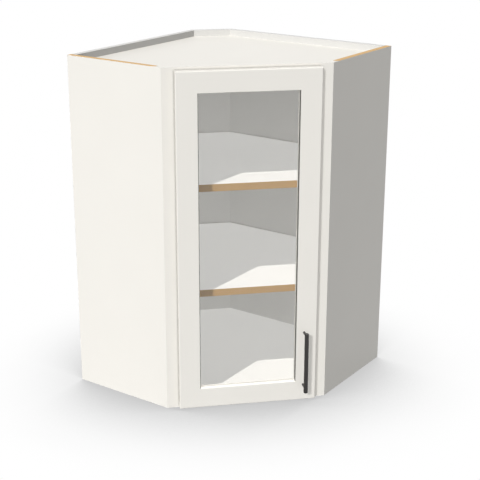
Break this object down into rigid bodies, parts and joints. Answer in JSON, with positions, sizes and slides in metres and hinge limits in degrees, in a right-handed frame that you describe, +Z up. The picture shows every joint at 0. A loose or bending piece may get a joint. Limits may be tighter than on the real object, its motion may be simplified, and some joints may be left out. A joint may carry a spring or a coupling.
{
  "type": "corner wall cabinet",
  "caption": "Diagonal corner wall cabinet with a framed glass door, bar pull, concealed hinges and adjustable full-depth shelves.",
  "frame": {"origin": "on the level of the cabinet's lower edges, under the middle of the whole object's box", "axes": "+Z up, -Y out through the door, +X to the right seen from the front; the walls are at 45 degrees to X and Y"},
  "size_m": [0.8622, 0.6463, 0.9144],
  "materials": {
    "painted_wood": "satin off-white paint",
    "faced_panel": "off-white faced board with a raw wood-coloured front or upper edge",
    "clear_glass": "clear float glass",
    "dark_gasket": "matte",
    "dark_pull": "satin black",
    "hinge_steel": "nickel-plated pressed steel",
    "clear_bumper": "soft, milky"
  },
  "bodies": {
    "cabinet": {"back_screws": "hinge_steel", "bottom_panel": "faced_panel", "corner_back_panel": "faced_panel", "frame_bottom_rail": "painted_wood", "frame_left_stile": "painted_wood", "frame_right_stile": "painted_wood", "frame_top_rail": "painted_wood", "hinge_arm_screws": "hinge_steel", "left_back_panel": "faced_panel", "left_side_panel": "faced_panel", "lower_hinge_arm": "hinge_steel", "lower_shelf_supports": "hinge_steel", "right_back_panel": "faced_panel", "right_side_panel": "faced_panel", "top_panel": "faced_panel", "upper_hinge_arm": "hinge_steel", "upper_shelf_supports": "hinge_steel"},
    "door": {"door_bottom_rail": "painted_wood", "door_bumpers": "clear_bumper", "door_left_stile": "painted_wood", "door_right_stile": "painted_wood", "door_top_rail": "painted_wood", "glass_gaskets": "dark_gasket", "glass_pane": "clear_glass", "glazing_bead_bottom": "painted_wood", "glazing_bead_left": "painted_wood", "glazing_bead_right": "painted_wood", "glazing_bead_top": "painted_wood", "pull_bar": "dark_pull", "pull_posts": "dark_pull", "pull_screws": "hinge_steel", "upper_hinge_cup": "hinge_steel", "lower_hinge_cup": "hinge_steel", "upper_hinge_pin": "hinge_steel", "lower_hinge_pin": "hinge_steel", "hinge_cup_screws": "hinge_steel"},
    "upper_shelf": {"upper_shelf": "faced_panel"},
    "lower_shelf": {"lower_shelf": "faced_panel"}
  },
  "joints": [
    {"name": "door_hinge", "type": "hinge", "parent": "cabinet", "child": "door", "pos_m": [-0.17688, -0.27561, 0.45595], "axis": [0, 0, -1], "range_deg": [0, 105]},
    {"name": "upper_shelf_lift", "type": "slide", "parent": "cabinet", "child": "upper_shelf", "axis": [0, 0, 1], "range_m": [0, 0.0635]},
    {"name": "lower_shelf_lift", "type": "slide", "parent": "cabinet", "child": "lower_shelf", "axis": [0, 0, 1], "range_m": [0, 0.0635]}
  ]
}
